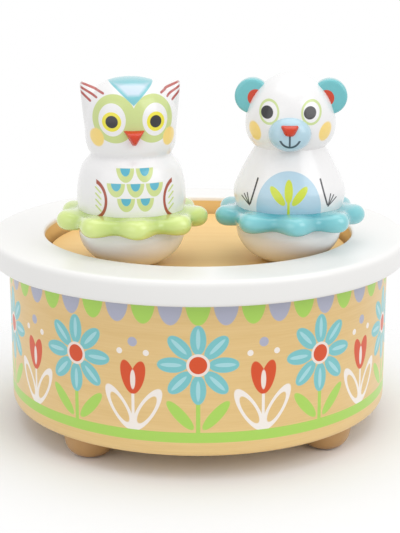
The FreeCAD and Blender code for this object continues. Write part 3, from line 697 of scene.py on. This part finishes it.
# %% owl's chest paint
FEATHER_BLUE, WING_BROWN = ink("#55B5CC"), ink("#A8492F")
FEATHERS = ((2.5, 28.2), (0.0, 24.4), (5.0, 24.4), (2.5, 20.6))
FEATHER_HALF, FEATHER_HEART = (2.3, 3.5), 0.55
QUILL_HEIGHTS = (21.8, 20.2, 18.6, 17.0)


def chest_feathers(side, z):
    """Rows of two, three and two round feathers, each with a blue heart."""
    paint = []
    for centre in FEATHERS:
        for share, colour in ((1.0, MASK_GREEN), (FEATHER_HEART, FEATHER_BLUE)):
            half = [size * share for size in FEATHER_HALF]
            paint += coats((oval(side, z, centre, half).highest(z - centre[1]), colour))
    return paint


def wings(side, z):
    """A brown arc for each wing, with four short green quills."""
    arc = (abs(oval(side, z, (10.7, 19.8), (3.1, 4.9))) - 0.34).highest(side - 9.9)
    quills = [stroke(side, z, (8.9, height), (10.1, height + 1.3), 0.42) for height in QUILL_HEIGHTS]
    return coats((arc, WING_BROWN), *((quill, MASK_GREEN) for quill in quills))


def owl_colours():
    """All of the owl's paint. The back stays plain, but for the end of the fan."""
    x, y, z = place()
    side, front = abs(x), (0 - y).clamped()
    paint = owl_face(side, z) + chest_feathers(side, z) + wings(side, z)
    return layers(layers(GLOSS_WHITE, within(front, paint)), crown_fan(x, y, z))


owl_lacquer = gloss("owl_lacquer", owl_colours)
print("the owl's paint takes", len(owl_lacquer.node_tree.nodes), "nodes")

# %% [markdown]
# The owl's body is a lathe profile with two cones for the ear tufts. On the real figure head and
# tufts are one piece with soft valleys between them. A voxel remesh melts the three shells into one
# skin, and a few rounds of smoothing take the steps out of it.

# %% owl body
OWL_R, OWL_TOP = 12.2, 50.5
VOXEL, SMOOTH_ROUNDS = 0.42, 7


def tuft(sign):
    """A blunt cone that leans out of the head."""
    low = Vector((sign * OWL_R * 0.6, 0, OWL_TOP * 0.82))
    tip = Vector((sign * OWL_R * 1.05, 0, OWL_TOP * 0.977))
    height = (tip - low).length
    points, faces = spin([(0, 0), (OWL_R * 0.5, 0), (0.7, height), (0, height + 0.3)], 48)
    upright = (tip - low).to_track_quat("Z", "Y")
    return [tuple(low + upright @ Vector(p)) for p in points], faces


def melted(made):
    """Melt a mesh of several shells into one skin and smooth its seams."""
    remesh = made.modifiers.new("melt", "REMESH")
    remesh.mode = "VOXEL"
    remesh.voxel_size = VOXEL * MM
    soften = made.modifiers.new("soften", "SMOOTH")
    soften.iterations = SMOOTH_ROUNDS
    soften.factor = 0.5
    graph = bpy.context.evaluated_depsgraph_get()
    melt = bpy.data.meshes.new_from_object(made.evaluated_get(graph))
    made.modifiers.clear()
    made.data = melt
    melt.polygons.foreach_set("use_smooth", [True] * len(melt.polygons))


owl_outline = figure_outline(OWL_R, OWL_TOP, wide=OWL_TOP * 0.79, neck=(OWL_R * 0.86, OWL_TOP * 0.6),
                             trunk=((1.17, 0), (1.2, 0.23), (1.17, 0.52), (1.07, 0.8)),
                             jaw=(0.16, 0.16), cheek=0.66, dome=0.66)
owl_mesh = joined([spin(owl_outline), tuft(-1), tuft(1)])
owl = piece("owl_figure", *owl_mesh, "owl", "white_lacquer", owl_lacquer, ["owl_body"], owl_at)
melted(owl)
print("owl skin", len(owl.data.vertices), "points")

# %% [markdown]
# The bear's paint follows the same recipe: round eyes in a thin pale-green outline, peach cheeks,
# dark stitched arms and a pale-blue belly with a small lime sprig. Its ears, muzzle and nose are
# pieces of their own, so the body is a plain lathe shape.

# %% bear paint
EYE_LINE, BELLY, LIME, STITCH = ink("#CFE09A"), ink("#B7D6E6"), ink("#CFDD3A"), ink("#3A3A40")
PUPIL_HALF = (1.62, 1.68)
CLAW_TIPS = ((11.0, 20.4), (11.8, 20.0), (12.5, 19.3))


def bear_face(x, side, z):
    """Outlined eyes that look a little aside, and cheeks."""
    outline = abs(oval(side, z, (5.5, 41.9), (2.4, 2.95))) - 0.27
    pupils = oval(x, z, (-6.05, 41.8), PUPIL_HALF).lowest(oval(x, z, (5.15, 41.8), PUPIL_HALF))
    cheeks = oval(side, z, (9.2, 36.6), (1.5, 2.6), tilt=-18)
    return coats((outline, EYE_LINE), (pupils, PUPIL)) + [(cover(cheeks, SOFT_EDGE), PEACH)]


def bear_belly(x, side, z):
    """A pale oval with a sprig: two leaves aside, one upright, and a stem."""
    return coats((oval(x, z, (0, 17.0), (8.5, 9.7)), BELLY),
                 (oval(side, z, (2.9, 20.4), (3.0, 1.1), tilt=52), LIME),
                 (oval(x, z, (0, 21.6), (1.1, 3.0)), LIME),
                 (stroke(x, z, (0, 15.0), (0, 20.0), 0.7), LIME))


def bear_arms(side, z):
    """One line for each arm and three for its claws."""
    lines = [stroke(side, z, (8.2, 24.4), (10.2, 17.6), 0.42)]
    lines += [stroke(side, z, (10.4, 17.2), tip, 0.3) for tip in CLAW_TIPS]
    return coats(*((line, STITCH) for line in lines))


def bear_colours():
    """All of the bear's paint; the back stays plain."""
    x, y, z = place()
    side, front = abs(x), (0 - y).clamped()
    paint = bear_face(x, side, z) + bear_belly(x, side, z) + bear_arms(side, z)
    return layers(GLOSS_WHITE, within(front, paint))


bear_lacquer = gloss("bear_lacquer", bear_colours)
print("the bear's paint takes", len(bear_lacquer.node_tree.nodes), "nodes")

# %% bear body
BEAR_R, BEAR_TOP = 12.1, 51.2
bear_wide = BEAR_TOP * 0.735
bear_neck = (BEAR_R * 0.775, bear_wide - BEAR_R * 0.5)
bear_outline = figure_outline(BEAR_R, BEAR_TOP, wide=bear_wide, neck=bear_neck,
                              trunk=((1.18, 0), (1.25, 0.28), (1.13, 0.53), (0.94, 0.8)),
                              jaw=(0.3, 0.25), cheek=0.45, dome=0.55)
bear = piece("bear_figure", *spin(bear_outline), "bear", "white_lacquer", bear_lacquer,
             ["bear_body"], bear_at)
print("bear skin", len(bear.data.vertices), "points")

# %% [markdown]
# The bear's ears are round discs, let into the sides of its head. Each is a lathe disc with rounded
# edges, laid on its side. A red spot is painted on the front, where disc and head meet.

# %% ears
TEAL, EAR_RED = ink("#70C3C8"), ink("#D43A04")
EAR_R, EAR_HALF, EAR_ROUNDING = 4.7, 2.5, 1.1
EAR_X, EAR_Z = BEAR_R * 1.24 - EAR_R, BEAR_TOP * 0.878


def ear_colours():
    """Teal, with the red spot on the front alone."""
    x, y, z = place()
    spot = coats((oval(abs(x), z, (EAR_X - 0.9, EAR_Z - 0.3), (2.1, 2.2)), EAR_RED))
    return layers(TEAL, within((0 - y - 1.5).clamped(), spot))


ear_gloss = gloss("ear_gloss", ear_colours)
ear_profile = softened([(0, -EAR_HALF, 0), (EAR_R, -EAR_HALF, EAR_ROUNDING),
                        (EAR_R, EAR_HALF, EAR_ROUNDING), (0, EAR_HALF, 0)])
ear_points, ear_faces = spin(ear_profile, 64)
for name, sign in (("left", 1), ("right", -1)):
    lying = [(sign * EAR_X + x, z, EAR_Z - y) for x, y, z in ear_points]
    piece(f"bear_{name}_ear_disc", lying, ear_faces, "bear", "teal_gloss", ear_gloss,
          [f"bear_{name}_ear"], bear_at)
print("ears", 2 * EAR_R, "mm across")

# %% [markdown]
# Muzzle, nose and beak are small pillows that bulge from an outline: an oval for the muzzle, and
# for the nose and the beak a shield that narrows downwards. The shield's corners are rounded by the
# helper that rounds the lathe profiles. A flat back closes each pillow inside the head.

# %% pillows
def button(outline, y_rim, depth, steps=14):
    """A domed button over a clockwise (x, z) outline, bulging along -Y from its flat back."""
    count = len(outline)
    cx, cz = sum(p[0] for p in outline) / count, sum(p[1] for p in outline) / count
    points, rings = [(cx, y_rim - depth, cz)], [[0]]
    for k in range(1, steps + 1):
        share = math.sin(math.pi / 2 * k / steps)
        y = y_rim - depth * (1 - share ** 3) ** 0.6
        rings.append([len(points) + j for j in range(count)])
        points += [(cx + (x - cx) * share, y, cz + (z - cz) * share) for x, z in outline]
    rings.append([len(points)])
    points.append((cx, y_rim, cz))
    return points, skin(rings)


def shield(half_top, half_low, top, low, rounding):
    """A rounded outline that narrows from its flat top to its lower end."""
    corners = [(-half_top, top), (half_top, top), (half_low, low), (-half_low, low)]
    edge = softened([(x, z, rounding) for x, z in corners], closed=True, steps=10)
    middles = [((a[0] + b[0]) / 2, (a[1] + b[1]) / 2) for a, b in zip(edge, edge[1:] + edge[:1])]
    return [point for pair in zip(edge, middles) for point in pair]


print("a shield has", len(shield(2, 1, 1, 0, 0.3)), "points")

# %% muzzle
MUZZLE, MUZZLE_CLOUD, MOUTH = ink("#B4D6E4"), ink("#C6E0EA"), ink("#2E4A57")
MUZZLE_Z, MUZZLE_HALF = BEAR_TOP * 0.708, (5.6, 4.6)
MUZZLE_RIM, MUZZLE_DEPTH = -BEAR_R * 0.9, 3.6


def muzzle_colours():
    """Pale blue, with a smile and a line from it up to the nose."""
    x, y, z = place()
    smile = (abs(oval(x, z, (0.1, 36.2), (2.75, 3.0))) - 0.26).highest(z - 35.0)
    line = stroke(x, z, (0.05, 33.4), (0.05, 36.5), 0.5)
    return layers(mix(speckle(120.0) * 0.4, MUZZLE, MUZZLE_CLOUD), coats((smile.lowest(line), MOUTH)))


half_wide, half_high = MUZZLE_HALF
muzzle_edge = [(half_wide * math.sin(a), MUZZLE_Z + half_high * math.cos(a))
               for a in [2 * math.pi * k / 72 for k in range(72)]]
muzzle_gloss = gloss("muzzle_gloss", muzzle_colours)
muzzle_mesh = button(muzzle_edge, MUZZLE_RIM, MUZZLE_DEPTH)
piece("bear_muzzle_bump", *muzzle_mesh, "bear", "pale_blue_gloss", muzzle_gloss, ["bear_muzzle"], bear_at)
print("muzzle", 2 * half_wide, "mm wide")

# %% nose and beak
NOSE_RED, NOSE_CLOUD = ink("#D23404"), ink("#DC3E08")
NOSE_Z, NOSE_RIM, NOSE_DEPTH = BEAR_TOP * 0.738, MUZZLE_RIM - 2.6, 2.05
BEAK_Z, BEAK_RIM, BEAK_DEPTH = OWL_TOP * 0.748, 1.2 - OWL_R, 3.4
red_gloss = gloss("red_gloss", lambda: mix(speckle(200.0) * 0.5, NOSE_RED, NOSE_CLOUD), coat=0.2)
nose_edge = shield(2.6, 1.3, NOSE_Z + 1.2, NOSE_Z - 1.8, 1.0)
beak_edge = shield(2.9, 0.5, BEAK_Z + 0.25, BEAK_Z - 3.9, 0.45)
nose_mesh = button(nose_edge, NOSE_RIM, NOSE_DEPTH)
beak_mesh = button(beak_edge, BEAK_RIM, BEAK_DEPTH)
piece("bear_nose_button", *nose_mesh, "bear", "red_gloss", red_gloss, ["bear_nose"], bear_at)
piece("owl_beak_point", *beak_mesh, "owl", "red_gloss", red_gloss, ["owl_beak"], owl_at)
print("nose", round(NOSE_Z, 1), "mm and beak", round(BEAK_Z, 1), "mm above the stage")

# %% [markdown]
# The bases are plain white bowls with a rounded underside and a pocket for the magnet and its pad.
# The pad and the magnet are CAD pieces, so the pocket takes its size from them.

# %% bowl
BOWL_CLOUD = ink("#EDECEA")
BOWL_FOOT_R, BOWL_R, BOWL_LIP_R = 5.0, 14.3, 13.8
BOWL_WIDE, BOWL_TOP, POCKET_PLAY = 8.96, 11.2, 0.05
bowl_side = bend((BOWL_FOOT_R, 0), (9.2, 0.4), (14.0, 4.2), (BOWL_R, BOWL_WIDE))
bowl_lip = softened([(BOWL_R, BOWL_WIDE, 0), (BOWL_LIP_R, BOWL_TOP, 0.4), (0, BOWL_TOP, 0)])
pad_low, pad_high = span("owl_felt_pad")
pocket_r = (pad_high.x - pad_low.x) / 2 + POCKET_PLAY
pocket_top = span("owl_magnet")[1].z - pad_low.z
bowl_profile = [(0, pocket_top), (pocket_r, pocket_top), (pocket_r, 0)] + bowl_side + bowl_lip[1:]
white_lacquer = gloss("white_lacquer", lambda: mix(speckle(80.0) * 0.3, GLOSS_WHITE, BOWL_CLOUD))
print("pocket", round(2 * pocket_r, 1), "mm across and", round(pocket_top, 1), "mm deep")

# %% [markdown]
# The swim rings are puffy tubes with nine lobes. A wave on the ring's radius gives the lobes, and
# the same wave on the tube's thickness makes each lobe swell. The colour carries painted shade: it
# is darker between the lobes and towards the middle of the ring.

# %% swim ring
LOBES, LOBE_REACH, LOBE_SWELL = 9, 1.05, 0.32
FLOAT_MIDDLE, FLOAT_TUBE_R, FLOAT_UNDER = 16.95, 2.6, -1.8
FLOAT_HEIGHT = BOWL_TOP + 0.7 * FLOAT_TUBE_R
HOLE_R, COLLAR_R = 13.0, 14.6
SHADE_R, SHADE_WIDTH = 14.5, 4.0


def float_section(wave):
    """The tube cut across: wave is 1 at the middle of a lobe and -1 between two lobes."""
    puff = FLOAT_TUBE_R - LOBE_SWELL * (1 - wave)
    middle = FLOAT_MIDDLE + LOBE_REACH * wave
    half_turn = [math.radians(90 - 180 * k / 16) for k in range(17)]
    bulge = [(middle + puff * math.cos(t), puff * math.sin(t)) for t in half_turn]
    collar_top = FLOAT_TUBE_R + 0.2 * (puff - FLOAT_TUBE_R)
    collar = [(HOLE_R, FLOAT_TUBE_R), (COLLAR_R, collar_top), ((COLLAR_R + middle) / 2, puff)]
    return collar + bulge + [(HOLE_R, FLOAT_UNDER)]


def swim_ring(turn, steps=252):
    """A puffy collar of lobes; turn is where the first lobe points, from the front."""
    points, rings = [], []
    for a in [2 * math.pi * j / steps for j in range(steps)]:
        section = float_section(math.cos(LOBES * (a - math.radians(turn))))
        rings.append([len(points) + k for k in range(len(section))])
        points += [(w * math.sin(a), -w * math.cos(a), FLOAT_HEIGHT + h) for w, h in section]
    return points, skin(rings + rings[:1])


def ring_painted_shade(turn, pale, deep):
    """Painted shade: darker between the lobes and towards the middle of the ring, over soft clouds of
    tone.
    """
    x, y, z = place()
    # painted shade: darker towards the middle of the ring and between the lobes, mixed with random clouds
    # of tone
    inner_painted_shade = (1 - (length(x, y) - SHADE_R) / SHADE_WIDTH).clamped()
    wave = Wire.math("COSINE", (front_angle(x, y) - math.radians(turn)) * LOBES)
    lobe_gap_painted_shade = (0.4 - wave * 0.6).clamped()
    return mix((inner_painted_shade * 0.45 + lobe_gap_painted_shade * 0.55 + speckle(150.0) * 0.25 - 0.1).clamped(), pale, deep)


float_r = FLOAT_MIDDLE + LOBE_REACH + FLOAT_TUBE_R
print("swim rings", round(2 * float_r, 1), "mm across with", LOBES, "lobes")

# %% swim rings and bases in place
OWL_LOBE, BEAR_LOBE = 8.0 - OWL_TURN, 2.4 - BEAR_TURN
for name, at, turn, slot, pale, deep in (
        ("owl", owl_at, OWL_LOBE, "lime_gloss", ink("#DAEC8D"), ink("#AFC961")),
        ("bear", bear_at, BEAR_LOBE, "teal_gloss", ink("#80CFD5"), ink("#48A7B2"))):
    # the second colour of each pair is the painted shade between the lobes and towards the middle of the
    # ring
    lacquer = gloss(name + "_float_gloss", lambda: ring_painted_shade(turn, pale, deep), coat=1.0)
    piece(name + "_swim_ring", *swim_ring(turn), name, slot, lacquer, [name + "_float"], at)
    piece(name + "_bowl", *spin(bowl_profile), name, "white_lacquer", white_lacquer,
          [name + "_base"], at)
    print(name, "floats with its first lobe at", round(turn, 1), "degrees")

# %% [markdown]
# What is left is seldom seen: the plywood base, the key in its well, and the movement inside the
# drum. These keep their CAD meshes and only get finishes. Metals share one recipe, a brushed
# surface with fine scratches, in the colour of steel, brass, zinc or dark spring.

# %% finishes for the rest
def metal(name, colour, dullness):
    """Brushed metal; dullness is its roughness between the scratches."""
    return finish(name, ink(colour), metallic=1.0, bump_depth=0.02,
                  roughness=lambda: speckle(300.0, 4.0, (0.1, 1.0, 1.0)) * 0.25 + dullness,
                  bump=lambda: speckle(900.0, 2.0, (0.05, 1.0, 1.0)))


def plain(name, colour, second, roughness):
    """Plastic or felt in two close shades."""
    return finish(name, lambda: mix(speckle(160.0) * 0.6, ink(colour), ink(second)), roughness=roughness,
                  bump=lambda: speckle(500.0))


rest = {
    "base_wood": finish("base_wood", lambda: grain((0.12, 1.0, 1.0), ink("#DDBB82"), ink("#C49C62")),
                        roughness=0.6, bump=lambda: speckle(500.0, 3.0, (0.1, 1.0, 1.0))),
    "dowel_wood": finish("dowel_wood", lambda: grain((1.0, 1.0, 0.15)), roughness=0.6),
    "steel": metal("steel", "#B8BABD", 0.2),
    "cast_zinc": metal("cast_zinc", "#A5A7AA", 0.35),
    "brass": metal("brass", "#D5AF5A", 0.2),
    "spring_steel": metal("spring_steel", "#4A5060", 0.25),
    "key_metal": metal("key_metal", "#CFD0D2", 0.12),
    "magnet": metal("magnet", "#B5B6B9", 0.15),
    "carrier_plastic": plain("carrier_plastic", "#343438", "#3C3C40", 0.5),
    "nylon": plain("nylon", "#EAE8DE", "#E0DDD0", 0.45),
    "felt": plain("felt", "#8C8C8C", "#7A7A7A", 0.95),
}
print(len(rest), "finishes for hidden pieces")

# %% dressing the rest
dressed = 0
for part in frame["record"]["subparts"]:
    node = frame["nodes"][part["node"]]
    if not node.hide_render:
        node.data.materials.clear()
        node.data.materials.append(rest[part["material_slot"]])
        dressed += 1
print("finished", dressed, "pieces in their CAD shape")

# %% [markdown]
# A studio table and plain soft light. The floor is pale and thins out away from the object, and to
# the camera the world is white, so the picture has no horizon. Three large area lamps do the
# lighting: a key from the right, a fill from the left and a soft top light. They are large beside
# the object, so shadows stay faint, and weak enough that white paint keeps its shape.

# %% floor
FLOOR_PALE, FLOOR_HALF = (0.95, 0.95, 0.95, 1.0), 0.6
FADE_START, FADE_END = 58.0, 116.0


def fading_floor():
    """A pale floor that thins out to nothing away from the object, so that white takes over."""
    material = finish("floor_white", FLOOR_PALE, roughness=0.9)
    x, y, _ = place()
    alpha = ((FADE_END - length(x, y)) / (FADE_END - FADE_START)).clamped()
    plug(Wire.tree.nodes["Principled BSDF"].inputs["Alpha"], alpha)
    return material


floor_mesh = bpy.data.meshes.new("floor")
floor_corners = [(x * FLOOR_HALF, y * FLOOR_HALF, 0) for x, y in ((-1, -1), (1, -1), (1, 1), (-1, 1))]
floor_mesh.from_pydata(floor_corners, [], [(0, 1, 2, 3)])
floor_mesh.materials.append(fading_floor())
floor = bpy.data.objects.new("floor", floor_mesh)
bpy.context.scene.collection.objects.link(floor)
print("floor fades from", FADE_START, "to", FADE_END, "mm")

# %% lamps
# Each lamp has a place in metres, a size in metres and a power in watts.
LAMPS = {"key": ((0.75, -0.5, 0.6), 0.7, 2.7),
         "fill": ((-0.7, -0.75, 0.4), 0.9, 1.7),
         "top": ((0.05, 0.05, 1.1), 1.1, 4.0)}
for name, (spot, size, power) in LAMPS.items():
    lamp = bpy.data.lights.new(name, "AREA")
    lamp.size = size
    lamp.energy = power
    lamp_object = bpy.data.objects.new(name, lamp)
    lamp_object.location = spot
    lamp_object.rotation_euler = facing(Vector(spot))
    bpy.context.scene.collection.objects.link(lamp_object)
    print(name, "lamp of", power, "W")

# %% world
AMBIENT, BACKDROP = (0.67, 0.67, 0.68, 1.0), (1.0, 1.0, 1.0, 1.0)
world = bpy.data.worlds.new("studio")
bpy.context.scene.world = world
world.use_nodes = True
Wire.tree = world.node_tree
seen = Wire.node("LightPath", output="Is Camera Ray")
for ray in ("Is Glossy Ray", "Is Transmission Ray"):
    seen = seen.highest(Wire.node("LightPath", output=ray))
plug(Wire.tree.nodes["Background"].inputs["Color"], mix(seen, AMBIENT, BACKDROP))
bpy.context.scene.view_settings.view_transform = "Standard"
print("ambient light", AMBIENT[:3])

# %% [markdown]
